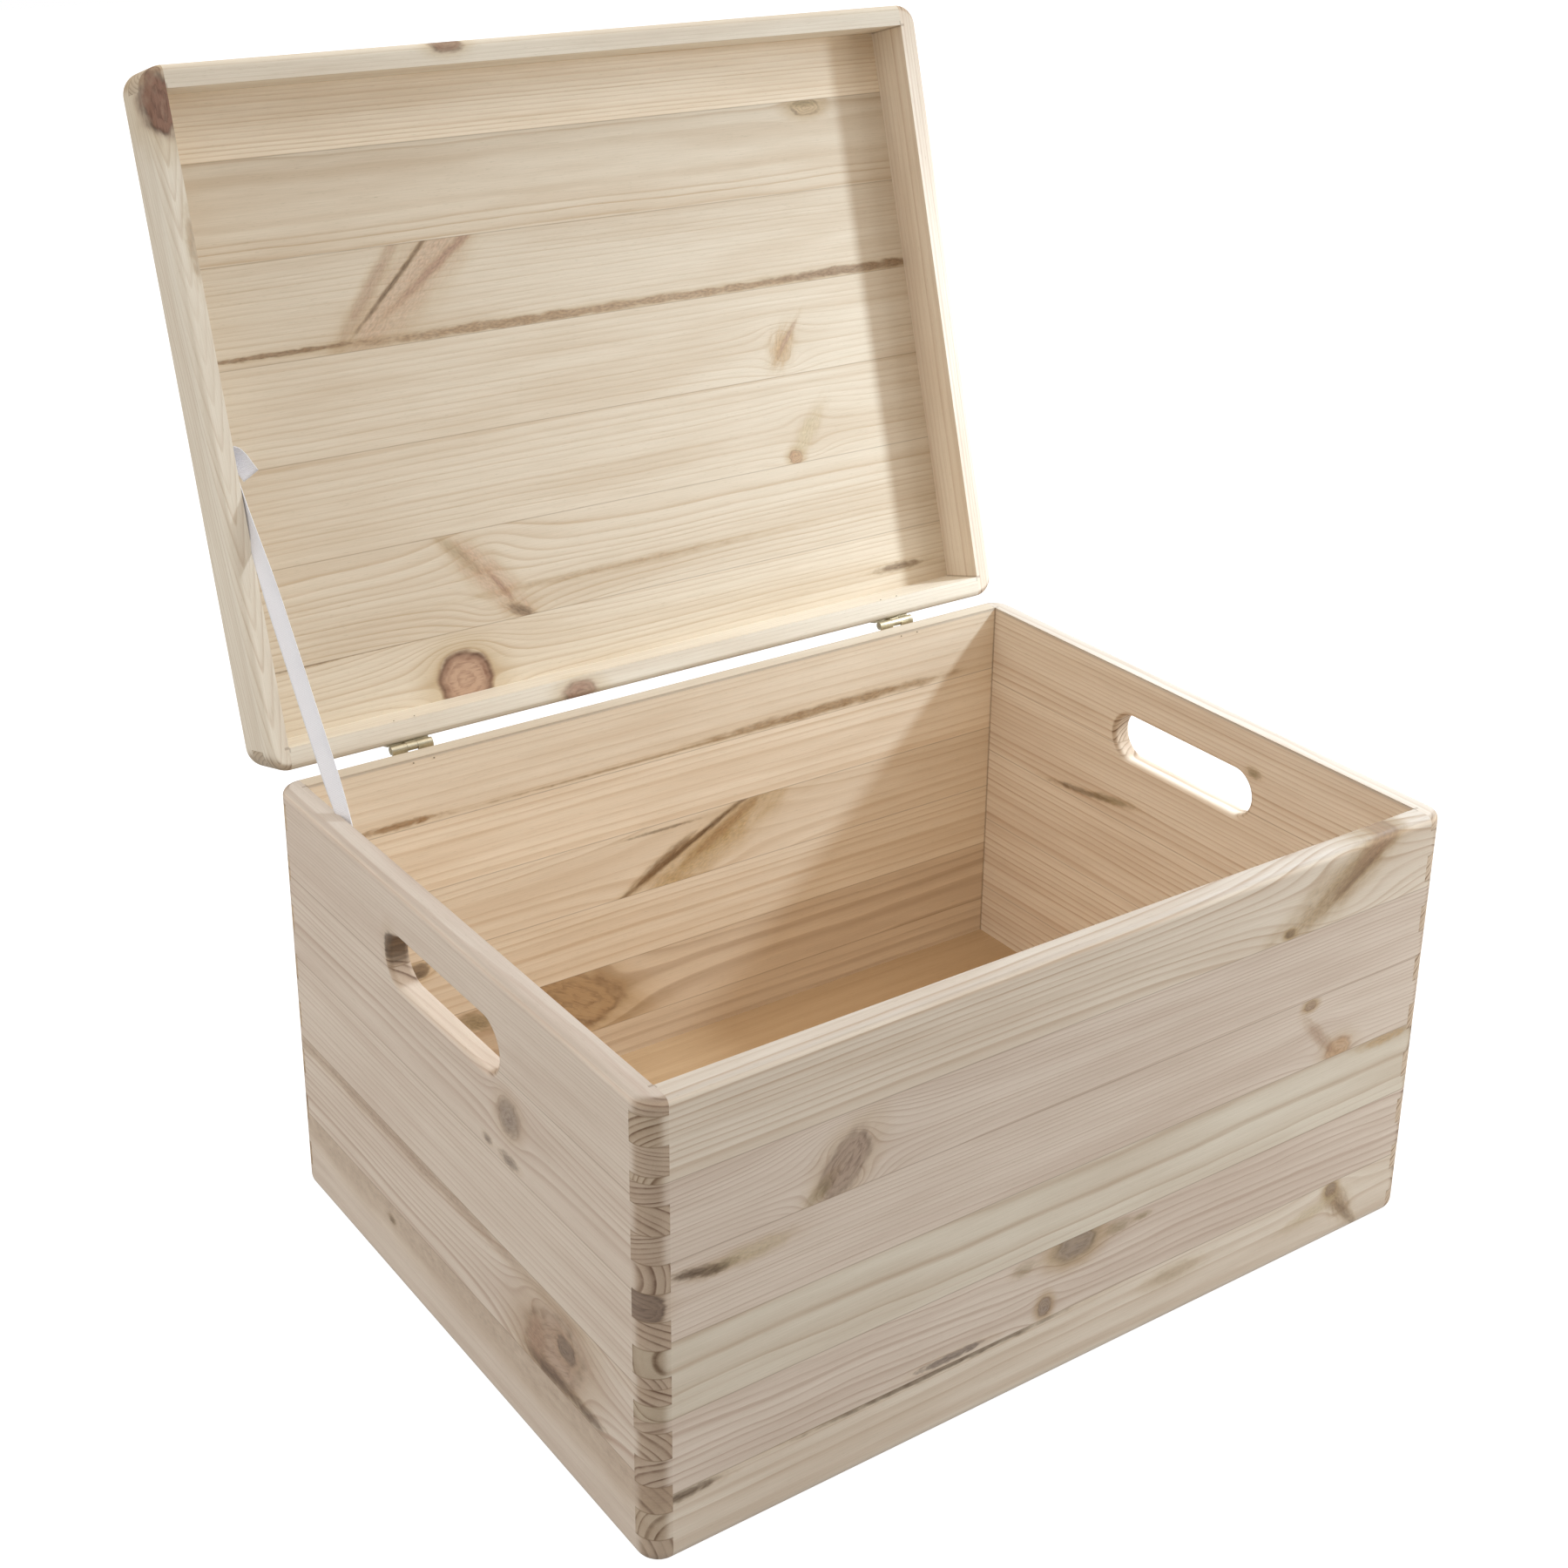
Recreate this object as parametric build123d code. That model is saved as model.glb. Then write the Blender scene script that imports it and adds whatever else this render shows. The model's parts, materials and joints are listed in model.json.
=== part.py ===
from build123d import *
import os
from math import atan2, cos, degrees, dist, radians, sin

# Wooden toy box with a hinged lid that a ribbon holds open. Lengths are in mm.
# Every piece is made where it lies in the closed box, centred on the box's footprint. The lid's
# pieces are then turned open about the hinge, and all pieces are shifted along Y, so that the
# open toy box is centred over the origin, with its foot on z = 0 and its front facing -Y.

# Case
LENGTH = 400.0
DEPTH = 300.0
HEIGHT = 230.0
BODY_HEIGHT = 200.0
SEAM = 0.3
WALL = 10.0
CORNER_RADIUS = 10.0
EDGE_RADIUS = 6.0
RIM_RADIUS = 3.5

# Finger joints: the side walls own the lowest finger and every second one above it
FINGER_COUNT = 19

# Boards that each wall and the lid's panel are glued up from
FRONT_FOOT_BOARD = 31.8
FRONT_BOARD = 33.7
FRONT_BOARD_COUNT = 6
SIDE_BOARD = 40.0
SIDE_BOARD_COUNT = 5
LID_BOARD = 44.2
LID_BOARD_COUNT = 7
LID_PANEL_THICKNESS = 4.5

# Plywood floor, held in grooves
FLOOR_BOTTOM = 8.7
FLOOR_THICKNESS = 4.0
GROOVE_DEPTH = 4.0

# Hand holes through both side walls
HOLE_LENGTH = 92.0
HOLE_HEIGHT = 23.0
HOLE_Z = 166.0
HOLE_EDGE_RADIUS = 2.4

# Hinges, on the outside of the back
OPEN_ANGLE = 106.0
HINGE_X = 134.5
HINGE_WIDTH = 20.0
HINGE_STANDOFF = 2.2
LEAF_HEIGHT = 7.8
LEAF_THICKNESS = 0.8
LEAF_CORNER_RADIUS = 1.2
KNUCKLE_RADIUS = 1.9
KNUCKLE_ROOM = 0.7
CENTRE_KNUCKLE = 5.0
KNUCKLE_GAP = 0.1
PIN_RADIUS = 0.8
PIN_CLEARANCE = 0.03
PIN_LENGTH = 20.6
PIN_END_RADIUS = 0.3

# Hinge nails, slanted towards the rim, with tips that just show inside
NAIL_SPREAD = 5.0
NAIL_FROM_AXIS = 4.0
NAIL_SLANT = 9.0
NAIL_LENGTH = 11.4
NAIL_RADIUS = 0.5
NAIL_TIP = 0.8
NAIL_TIP_RADIUS = 0.2
NAIL_HEAD_RADIUS = 1.2
NAIL_HEAD_TOP_RADIUS = 0.8
NAIL_HEAD_HEIGHT = 0.5

# Ribbon stay, flat against the left wall, with a staple across each end. Each fixing is
# (y, z) in the closed box.
RIBBON_WIDTH = 9.0
RIBBON_THICKNESS = 0.5
RIBBON_GAP = 0.3
RIBBON_TAIL = 4.0
RIBBON_BOX_FIXING = (83.4, 172.0)
RIBBON_LID_FIXING = (15.6, 210.1)
STAPLE_WIDTH = 11.4
STAPLE_WIRE = 0.7
STAPLE_LEG = 6.0
STAPLE_GAP = 0.1

# Worked-out places
INNER_X = LENGTH / 2 - WALL
INNER_Y = DEPTH / 2 - WALL
RIM_Z = BODY_HEIGHT + SEAM
HINGE_Y = DEPTH / 2 + HINGE_STANDOFF
HINGE_Z = BODY_HEIGHT + SEAM / 2
HINGE_AXIS = Axis((0, HINGE_Y, HINGE_Z), (1, 0, 0))
BEYOND = 20.0


def opened(y, z):
    """Where a point of the closed lid lies when the lid is open."""
    turn = radians(OPEN_ANGLE)
    back = y - HINGE_Y
    up = z - HINGE_Z
    return HINGE_Y + cos(turn) * back + sin(turn) * up, HINGE_Z - sin(turn) * back + cos(turn) * up


BACK_REACH = opened(EDGE_RADIUS - DEPTH / 2, HEIGHT - EDGE_RADIUS)[0] + EDGE_RADIUS
SHIFT = (DEPTH / 2 - BACK_REACH) / 2


def block(x, y, z):
    """A box between two limits in each direction, given in either order."""
    centre = Pos(sum(x) / 2, sum(y) / 2, sum(z) / 2)
    return centre * Box(abs(x[1] - x[0]), abs(y[1] - y[0]), abs(z[1] - z[0]))


def slab(low, high):
    """All of the case's space between two heights."""
    return block((-LENGTH, LENGTH), (-DEPTH, DEPTH), (low, high))


# ------------------------------------------------------------------------ walls and rails

def outside():
    """The closed case as one block, with its upright, foot and top edges rounded."""
    case = Pos(0, 0, HEIGHT / 2) * Box(LENGTH, DEPTH, HEIGHT)
    case = fillet(case.edges().filter_by(Axis.Z), CORNER_RADIUS)
    ends = case.faces().sort_by(Axis.Z)
    return fillet(ends[0].edges() + ends[-1].edges(), EDGE_RADIUS)


def ring(low, high, rim):
    """The case between two heights, hollowed out, with the outer edge of its rim rounded."""
    solid = outside() & slab(low, high)
    rim_face = solid.faces().sort_by(Axis.Z)[rim]
    inside = block((-INNER_X, INNER_X), (-INNER_Y, INNER_Y), (-BEYOND, HEIGHT + BEYOND))
    return fillet(rim_face.edges(), RIM_RADIUS) - inside


def fingers(first):
    """The heights of every second finger from the given one up."""
    return [(i * FINGER, (i + 1) * FINGER) for i in range(first, FINGER_COUNT, 2)]


def front_or_back(side):
    """The space of the front (side -1) or back (side 1) wall and its fingers."""
    y = (side * INNER_Y, side * (INNER_Y + WALL + BEYOND))
    reach = INNER_X + WALL + BEYOND
    space = block((-INNER_X, INNER_X), y, (-BEYOND, HEIGHT + BEYOND))
    for band in fingers(1):
        space += block((-reach, reach), y, band)
    return space


def left_or_right(side):
    """The space of the left (side -1) or right (side 1) wall and its fingers."""
    x = (side * INNER_X, side * (INNER_X + WALL + BEYOND))
    reach = INNER_Y + WALL + BEYOND
    space = block(x, (-INNER_Y, INNER_Y), (-BEYOND, HEIGHT + BEYOND))
    for band in fingers(0):
        space += block(x, (-reach, reach), band)
    return space


def with_hand_hole(wall, side):
    """A side wall with its hand hole, rounded over on both faces."""
    outline = SlotOverall(HOLE_LENGTH, HOLE_HEIGHT, rotation=90)
    hole = Rot(0, 90, 0) * extrude(outline, WALL, both=True)
    wall -= Pos(side * (INNER_X + WALL / 2), 0, HOLE_Z) * hole
    mouths = [
        edge for edge in wall.edges()
        if abs(edge.center().Y) < HOLE_LENGTH / 2 + 1
        and abs(edge.center().Z - HOLE_Z) < HOLE_HEIGHT / 2 + 1
        and edge.bounding_box().size.X < 0.01
    ]
    return fillet(mouths, HOLE_EDGE_RADIUS)


def boards(name, wall, foot_board, board, count):
    """A wall cut at its glue lines into boards, numbered from the foot up."""
    lines = [-BEYOND] + [foot_board + i * board for i in range(count - 1)] + [HEIGHT]
    return {f"{name}_board_{i + 1}": wall & slab(lines[i], lines[i + 1]) for i in range(count)}


def body_walls():
    """The boards of the four walls."""
    walls = ring(-BEYOND, BODY_HEIGHT, -1) - floor_panel()
    pieces = {}
    for name, side in (("front", -1), ("back", 1)):
        wall = walls & front_or_back(side)
        pieces |= boards(name, wall, FRONT_FOOT_BOARD, FRONT_BOARD, FRONT_BOARD_COUNT)
    for name, side in (("left", -1), ("right", 1)):
        wall = with_hand_hole(walls & left_or_right(side), side)
        pieces |= boards(name, wall, SIDE_BOARD, SIDE_BOARD, SIDE_BOARD_COUNT)
    return pieces


def floor_panel():
    """The plywood floor, out to the bottom of its grooves."""
    x = INNER_X + GROOVE_DEPTH
    y = INNER_Y + GROOVE_DEPTH
    return block((-x, x), (-y, y), (FLOOR_BOTTOM, FLOOR_BOTTOM + FLOOR_THICKNESS))


def lid_rails():
    """The four rails of the lid."""
    rails = ring(RIM_Z, HEIGHT + BEYOND, 0)
    return {
        "lid_rail_front": rails & front_or_back(-1),
        "lid_rail_back": rails & front_or_back(1),
        "lid_rail_left": rails & left_or_right(-1),
        "lid_rail_right": rails & left_or_right(1),
    }


def lid_panel():
    """The boards of the lid's panel, numbered from the front. The outer two are narrower."""
    first = -(LID_BOARD_COUNT - 2) * LID_BOARD / 2
    lines = [-INNER_Y] + [first + i * LID_BOARD for i in range(LID_BOARD_COUNT - 1)] + [INNER_Y]
    z = (HEIGHT - LID_PANEL_THICKNESS, HEIGHT)
    return {
        f"lid_board_{i + 1}": block((-INNER_X, INNER_X), (lines[i], lines[i + 1]), z)
        for i in range(LID_BOARD_COUNT)
    }


# ------------------------------------------------------------------------ hinges

def rod(x, radius, length):
    """A round bar along the hinge axis, centred at x."""
    return Pos(x, HINGE_Y, HINGE_Z) * Rot(0, 90, 0) * Cylinder(radius, length)


def leaf(x, up, knuckles, bore_radius):
    """A hinge leaf: a plate, and knuckles at the given (from, to) places along the hinge.

    up is -1 for the leaf on the box and 1 for the leaf on the lid.
    """
    y = (DEPTH / 2, DEPTH / 2 + LEAF_THICKNESS)
    edge_z = HINGE_Z + up * LEAF_HEIGHT
    clear_z = HINGE_Z + up * (KNUCKLE_RADIUS + KNUCKLE_ROOM)
    piece = block((x - HINGE_WIDTH / 2, x + HINGE_WIDTH / 2), y, (clear_z, edge_z))
    corners = [e for e in piece.edges().filter_by(Axis.Y) if abs(e.center().Z - edge_z) < 0.01]
    piece = fillet(corners, LEAF_CORNER_RADIUS)
    for start, end in knuckles:
        piece += block((x + start, x + end), y, (HINGE_Z, clear_z))
        piece += rod(x + (start + end) / 2, KNUCKLE_RADIUS, end - start)
    return piece - rod(x, bore_radius, 2 * HINGE_WIDTH)


def pin(x):
    """A hinge pin with rounded ends."""
    piece = rod(x, PIN_RADIUS, PIN_LENGTH)
    return fillet(piece.edges().filter_by(GeomType.CIRCLE), PIN_END_RADIUS)


def nail(x, up):
    """A hinge nail: up is -1 through the leaf on the box and 1 through the leaf on the lid."""
    shank = NAIL_LENGTH - NAIL_TIP
    piece = Pos(0, 0, -shank / 2) * Cylinder(NAIL_RADIUS, shank)
    piece += Pos(0, 0, -shank - NAIL_TIP / 2) * Cone(NAIL_TIP_RADIUS, NAIL_RADIUS, NAIL_TIP)
    head = Cone(NAIL_HEAD_RADIUS, NAIL_HEAD_TOP_RADIUS, NAIL_HEAD_HEIGHT)
    piece += Pos(0, 0, NAIL_HEAD_HEIGHT / 2) * head
    where = Pos(x, DEPTH / 2 + LEAF_THICKNESS, HINGE_Z + up * NAIL_FROM_AXIS)
    return where * Rot(-90 + up * NAIL_SLANT, 0, 0) * piece


def add_hinge(name, x, box, lid):
    """A hinge at x, with its nails driven through the leaves into the wood behind them."""
    half_gap = CENTRE_KNUCKLE / 2 + KNUCKLE_GAP
    outer = [(-HINGE_WIDTH / 2, -half_gap), (half_gap, HINGE_WIDTH / 2)]
    centre = [(-CENTRE_KNUCKLE / 2, CENTRE_KNUCKLE / 2)]
    box[f"{name}_hinge_box_leaf"] = leaf(x, -1, outer, PIN_RADIUS)
    lid[f"{name}_hinge_lid_leaf"] = leaf(x, 1, centre, PIN_RADIUS + PIN_CLEARANCE)
    box[f"{name}_hinge_pin"] = pin(x)
    sides = (
        (box, "box", -1, f"back_board_{FRONT_BOARD_COUNT}"),
        (lid, "lid", 1, "lid_rail_back"),
    )
    for pieces, part, up, wood in sides:
        for number, offset in enumerate((-NAIL_SPREAD, NAIL_SPREAD), start=1):
            fastener = nail(x + offset, up)
            pieces[f"{name}_hinge_{part}_leaf"] -= fastener
            pieces[wood] -= fastener
            pieces[f"{name}_hinge_{part}_nail_{number}"] = fastener


# ------------------------------------------------------------------------ ribbon stay

def ribbon_turn():
    """The ribbon's lean from upright, in degrees about X, when the lid is open."""
    end = opened(*RIBBON_LID_FIXING)
    return -degrees(atan2(end[0] - RIBBON_BOX_FIXING[0], end[1] - RIBBON_BOX_FIXING[1]))


def ribbon():
    """The ribbon, straight and flat between its two fixings, with a short tail at each."""
    end = opened(*RIBBON_LID_FIXING)
    length = dist(RIBBON_BOX_FIXING, end) + 2 * RIBBON_TAIL
    x = -INNER_X + RIBBON_GAP + RIBBON_THICKNESS / 2
    y = (RIBBON_BOX_FIXING[0] + end[0]) / 2
    z = (RIBBON_BOX_FIXING[1] + end[1]) / 2
    return Pos(x, y, z) * Rot(ribbon_turn(), 0, 0) * Box(RIBBON_THICKNESS, RIBBON_WIDTH, length)


def staple(fixing):
    """A staple across the ribbon, with its legs either side of it and into the wood."""
    crown_x = RIBBON_GAP + RIBBON_THICKNESS + STAPLE_GAP
    half = STAPLE_WIDTH / 2
    wire = (-STAPLE_WIRE / 2, STAPLE_WIRE / 2)
    piece = block((crown_x, crown_x + STAPLE_WIRE), (-half, half), wire)
    for leg in ((-half, STAPLE_WIRE - half), (half - STAPLE_WIRE, half)):
        piece += block((-STAPLE_LEG, crown_x + STAPLE_WIRE), leg, wire)
    return Pos(-INNER_X, *fixing) * Rot(ribbon_turn(), 0, 0) * piece


# ------------------------------------------------------------------------ the toy box

FINGER = HEIGHT / FINGER_COUNT

box = body_walls()
box["floor_panel"] = floor_panel()
lid = lid_rails() | lid_panel()
add_hinge("left", -HINGE_X, box, lid)
add_hinge("right", HINGE_X, box, lid)
lid = {name: piece.rotate(HINGE_AXIS, -OPEN_ANGLE) for name, piece in lid.items()}

box["stay_ribbon"] = ribbon()
box["ribbon_staple_box"] = staple(RIBBON_BOX_FIXING)
box[f"left_board_{SIDE_BOARD_COUNT}"] -= box["ribbon_staple_box"]
lid["ribbon_staple_lid"] = staple(opened(*RIBBON_LID_FIXING))
lid["lid_rail_left"] -= lid["ribbon_staple_lid"]

os.makedirs("parts", exist_ok=True)
for name, piece in (box | lid).items():
    solids = piece.solids()
    if len(solids) != 1:
        print(name, "is", len(solids), "solids, not 1")
    export_step(Pos(0, SHIFT, 0) * solids[0], f"parts/{name}.step")
print("shift along Y:", round(SHIFT, 3), "mm")
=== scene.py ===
import json
import math

import bpy
from mathutils import Matrix, Vector


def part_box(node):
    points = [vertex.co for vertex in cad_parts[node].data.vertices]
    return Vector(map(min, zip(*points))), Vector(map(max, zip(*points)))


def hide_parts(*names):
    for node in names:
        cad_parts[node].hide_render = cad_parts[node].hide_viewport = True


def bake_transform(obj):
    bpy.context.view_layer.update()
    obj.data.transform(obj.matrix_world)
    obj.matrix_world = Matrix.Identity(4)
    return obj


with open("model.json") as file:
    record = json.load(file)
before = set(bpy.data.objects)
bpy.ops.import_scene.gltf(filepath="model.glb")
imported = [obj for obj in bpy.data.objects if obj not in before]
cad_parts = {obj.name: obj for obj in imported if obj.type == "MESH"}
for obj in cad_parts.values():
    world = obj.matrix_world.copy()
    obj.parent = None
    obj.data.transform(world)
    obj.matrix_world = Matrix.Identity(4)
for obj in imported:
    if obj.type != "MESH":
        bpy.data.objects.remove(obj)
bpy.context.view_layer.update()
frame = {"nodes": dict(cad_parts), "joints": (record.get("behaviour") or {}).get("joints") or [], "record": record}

# A wooden toy box, its lid open on a ribbon. Every wooden piece is a CAD node with its own solid wood
# material, made from growth rings around a pith line, so that faces, edges and end grain agree.
# Wood is described in the closed box, in mm, centred on the box's footprint, with z up:
# (x, z) on the front and back, (y, z) on the sides, (x, y) on the floor, the lid's panel and the
# lid's front and back rails, and (y, x) on the lid's side rails.

MM = 0.001
LID_JOINT = frame["joints"][0]
HINGE = Vector(LID_JOINT["pos_m"])
OPEN_ANGLE = math.radians(-LID_JOINT["range_deg"][0])
LID_NODES = set(frame["record"]["behaviour"]["bodies"]["lid"])
CENTRE_Y = (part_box("front_board_1")[0].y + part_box("back_board_1")[1].y) / 2
HALF_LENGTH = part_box("front_board_1")[1].x / MM
HALF_DEPTH = (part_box("back_board_1")[1].y - CENTRE_Y) / MM
BODY_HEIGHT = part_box("left_board_5")[1].z / MM
WALL = (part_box("back_board_1")[1].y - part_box("back_board_1")[0].y) / MM
CLOSED_HEIGHT = 230
FINGER_COUNT = 19
FINGER = CLOSED_HEIGHT / FINGER_COUNT

# The photograph's view
CAMERA_PLACE = (-0.5524, -0.7328 + CENTRE_Y, 0.6463)
CAMERA_AZIMUTH = 35.82
CAMERA_ELEVATION = -22.21
CAMERA_ROLL = 0.92
CAMERA_LENS = 54.89
CAMERA_SHIFT = (-0.021, -0.0912)


def srgb(red, green, blue):
    """A linear colour from the 0-255 values that a screen shows."""
    def linear(value):
        value /= 255
        return value / 12.92 if value <= 0.04045 else ((value + 0.055) / 1.055) ** 2.4
    return linear(red), linear(green), linear(blue), 1.0


# Wood colours: early wood, late wood
PALE = (srgb(232, 223, 205), srgb(196, 175, 150))
WARM = (srgb(235, 220, 196), srgb(200, 172, 136))
ROSE = (srgb(230, 216, 199), srgb(194, 169, 149))
CREAM = (srgb(234, 222, 204), srgb(192, 165, 137))
HONEY = (srgb(232, 216, 190), srgb(186, 156, 122))
PINK = (srgb(230, 216, 200), srgb(190, 165, 145))
TAN = (srgb(224, 205, 178), srgb(174, 146, 116))
PLYWOOD = (srgb(210, 178, 138), srgb(184, 150, 108))

KNOT_CORE = srgb(182, 158, 136)
KNOT_RIM = srgb(116, 94, 78)
KNOT_HALO = srgb(216, 198, 160)
RED_CORE = srgb(190, 156, 132)
GREY_CORE = srgb(166, 150, 136)
OLIVE = srgb(166, 148, 114)
PITH_BROWN = srgb(122, 102, 82)
BARK_BLACK = srgb(80, 68, 58)
END_EARLY = srgb(224, 215, 205)
END_LATE = srgb(168, 156, 145)
# Colour of the glue lines, also used for the painted shade in the box's inner corners
GLUE_AND_CORNER_SHADE = srgb(136, 112, 86)
# Cool grey that darkens the box's top rim: painted shade
RIM_PAINTED_SHADE = srgb(222, 224, 228)

# Thin dark lines, in mm from their middle, and how much of their dark colour they show: glue lines between boards
# and fingers, and painted shade in the box's inner corners
SEAM_REACH = 0.4
FINGER_LINE = (0.45, 0.15)
CORNER_PAINTED_SHADE = (0.9, 0.2)
LINE_STRENGTH = 0.45

# The box's rim is darkened with painted shade from here up, measured down from its top in mm
RIM_SHADE_BAND = (2, 0.5)

# How squarely a surface has to cut the grain before end grain starts to show, and shows in full
END_GRAIN = (0.02, 0.42)


class Shader:
    """Short calls that add nodes to a material and return their output sockets."""

    def __init__(self, owner):
        owner.use_nodes = True
        self.tree = owner.node_tree
        name = "Background" if isinstance(owner, bpy.types.World) else "Principled BSDF"
        self.surface = self.tree.nodes[name]

    def add(self, kind, feeds=None, **settings):
        node = self.tree.nodes.new(kind)
        for name, value in settings.items():
            setattr(node, name, value)
        for key, value in (feeds or {}).items():
            self.feed(node.inputs[key], value)
        return node

    def feed(self, socket, value):
        if isinstance(value, bpy.types.NodeSocket):
            self.tree.links.new(value, socket)
        else:
            socket.default_value = value

    def math(self, operation, *values):
        node = self.add("ShaderNodeMath", dict(enumerate(values)), operation=operation)
        return node.outputs[0]

    def vector(self, operation, *values):
        node = self.add("ShaderNodeVectorMath", dict(enumerate(values)), operation=operation)
        return node.outputs[0]

    def length(self, vector):
        return self.add("ShaderNodeVectorMath", {0: vector}, operation="LENGTH").outputs["Value"]

    def split(self, vector):
        return self.add("ShaderNodeSeparateXYZ", {0: vector}).outputs[:3]

    def join(self, x, y, z):
        return self.add("ShaderNodeCombineXYZ", {0: x, 1: y, 2: z}).outputs[0]

    def step(self, value, low, high):
        """0 below low, 1 above high, smooth between; low may be the larger."""
        feeds = {"Value": value, "From Min": low, "From Max": high}
        return self.add("ShaderNodeMapRange", feeds, interpolation_type="SMOOTHSTEP").outputs[0]

    def mix(self, factor, a, b, blend="MIX"):
        feeds = {0: factor, 6: a, 7: b}
        node = self.add("ShaderNodeMix", feeds, data_type="RGBA", blend_type=blend)
        return node.outputs[2]

    def noise(self, vector, grain=(1, 1, 1), detail=2.0):
        """Noise about 0, from -0.5 to 0.5, with lumps of the given size in each direction."""
        place = self.vector("DIVIDE", vector, grain)
        feeds = {"Vector": place, "Scale": 1.0, "Detail": detail}
        node = self.add("ShaderNodeTexNoise", feeds)
        return self.math("SUBTRACT", node.outputs[0], 0.5)

    def ramp(self, value, stops):
        node = self.add("ShaderNodeValToRGB", {0: value})
        elements = node.color_ramp.elements
        while len(elements) < len(stops):
            elements.new(0.5)
        for element, (position, level) in zip(elements, stops):
            element.position = position
            element.color = (level, level, level, 1.0)
        return node.outputs[0]


# ---------------------------------------------------------------------------- wood

# Which way a board's grain and faces lie: along, across and through as axes of the closed box
UPRIGHT_X = (0, 2, 1)
UPRIGHT_Y = (1, 2, 0)
FLAT_X = (0, 1, 2)
FLAT_Y = (1, 0, 2)

# How dark a ring is from its inner edge to its outer one
LATE_WOOD = [(0, 0), (0.3, 0.06), (0.6, 0.3), (0.84, 1), (0.93, 0.75), (1, 0)]


class Knot:
    """A knot or a smear of colour: its middle (along, across), half length and half height in mm,
    tilt in degrees, colours, and how strongly it shows and pushes the grain aside. It goes right
    through the board, unless through gives its middle and half depth there."""

    def __init__(self, along, across, length, height, tilt=0.0, core=KNOT_CORE, rim=KNOT_RIM,
                 halo=0.5, strength=0.8, push=1.0, soft=0.3, rings=3.0, ragged=0.7, patchy=0.7,
                 through=None):
        self.along = along
        self.across = across
        self.length = length
        self.height = height
        self.tilt = math.radians(tilt)
        self.core = core
        self.rim = rim
        self.halo = halo
        self.strength = strength
        self.push = push
        self.soft = soft
        self.rings = rings
        self.ragged = ragged
        self.patchy = patchy
        self.through = through


def smear(along, across, length, height, tilt=0.0, colour=OLIVE, strength=0.7, soft=0.6, push=0.4):
    """A stain or streak with no rim."""
    darker = tuple(0.5 * c for c in colour[:3]) + (1.0,)
    return Knot(along, across, length, height, tilt, core=colour, rim=darker, halo=0.25,
                strength=strength, push=push, soft=soft, rings=0.0, ragged=1.6, patchy=0.9)


class Look:
    """How one board looks. spacing is between rings; pith is (across, through) from the board's
    middle to the tree's heart; rise is how far the rings climb per mm along the board; wave is how
    far they wander; contrast is how dark the late wood is; shade multiplies the colour."""

    def __init__(self, tone, spacing=2.4, pith=(-40, -30), rise=0.0, wave=2.0, contrast=0.7,
                 shade=1.0, knots=()):
        self.tone = tone
        self.spacing = spacing
        self.pith = pith
        self.rise = rise
        self.wave = wave
        self.contrast = contrast
        self.shade = shade
        self.knots = knots


def closed_place(s, on_lid):
    """A point of the surface in the closed box, in mm, and the surface's direction there."""
    source = s.add("ShaderNodeTexCoord")
    place = source.outputs["Object"]
    normal = source.outputs["Normal"]
    if on_lid:
        turn = {"rotation_type": "X_AXIS"}
        feeds = {"Vector": place, "Center": tuple(HINGE), "Angle": OPEN_ANGLE}
        place = s.add("ShaderNodeVectorRotate", feeds, **turn).outputs[0]
        feeds = {"Vector": normal, "Angle": OPEN_ANGLE}
        normal = s.add("ShaderNodeVectorRotate", feeds, **turn).outputs[0]
    place = s.vector("SUBTRACT", place, (0, CENTRE_Y, 0))
    return s.vector("MULTIPLY", place, (1 / MM, 1 / MM, 1 / MM)), normal


def board_place(s, place, normal, lies):
    """(along, across, through) of a point, and how squarely the surface cuts the grain, 0 to 1."""
    ordered = [s.split(place)[axis] for axis in lies]
    return s.join(*ordered), s.math("ABSOLUTE", s.split(normal)[lies[0]])


def knot_field(s, place, knot):
    """How far a knot pushes the grain aside, and the distance from its middle (1 at its edge)."""
    at, deep = knot.through or (0, 1)
    offset = s.vector("SUBTRACT", place, (knot.along, knot.across, at))
    offset = s.vector("MULTIPLY", offset, (1, 1, 1 if knot.through else 0))
    turned = s.add("ShaderNodeVectorRotate", {"Vector": offset, "Angle": -knot.tilt},
                   rotation_type="Z_AXIS").outputs[0]
    scaled = s.vector("DIVIDE", turned, (knot.length, knot.height, deep))
    size = math.sqrt(knot.length * knot.height)
    rough = s.noise(turned, (size, size * 0.4, size), detail=4)
    edge = s.math("ADD", s.length(scaled), s.math("MULTIPLY", rough, knot.ragged))
    tall = math.hypot(knot.height * math.cos(knot.tilt), knot.length * math.sin(knot.tilt))
    long = math.hypot(knot.length * math.cos(knot.tilt), knot.height * math.sin(knot.tilt))
    away_x, away_y, _ = s.split(s.vector("DIVIDE", offset, (1.2 * max(long, tall), 1.15 * tall, 1)))
    steep = s.math("POWER", s.math("ABSOLUTE", away_y), 4)
    gentle = s.math("POWER", s.math("ABSOLUTE", away_x), 2)
    falloff = s.math("MULTIPLY_ADD", steep, 0.6, s.math("MULTIPLY_ADD", gentle, 0.8, 0.75))
    push = s.math("MULTIPLY", s.split(offset)[1], s.math("DIVIDE", knot.push, falloff))
    return push, edge, turned


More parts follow.
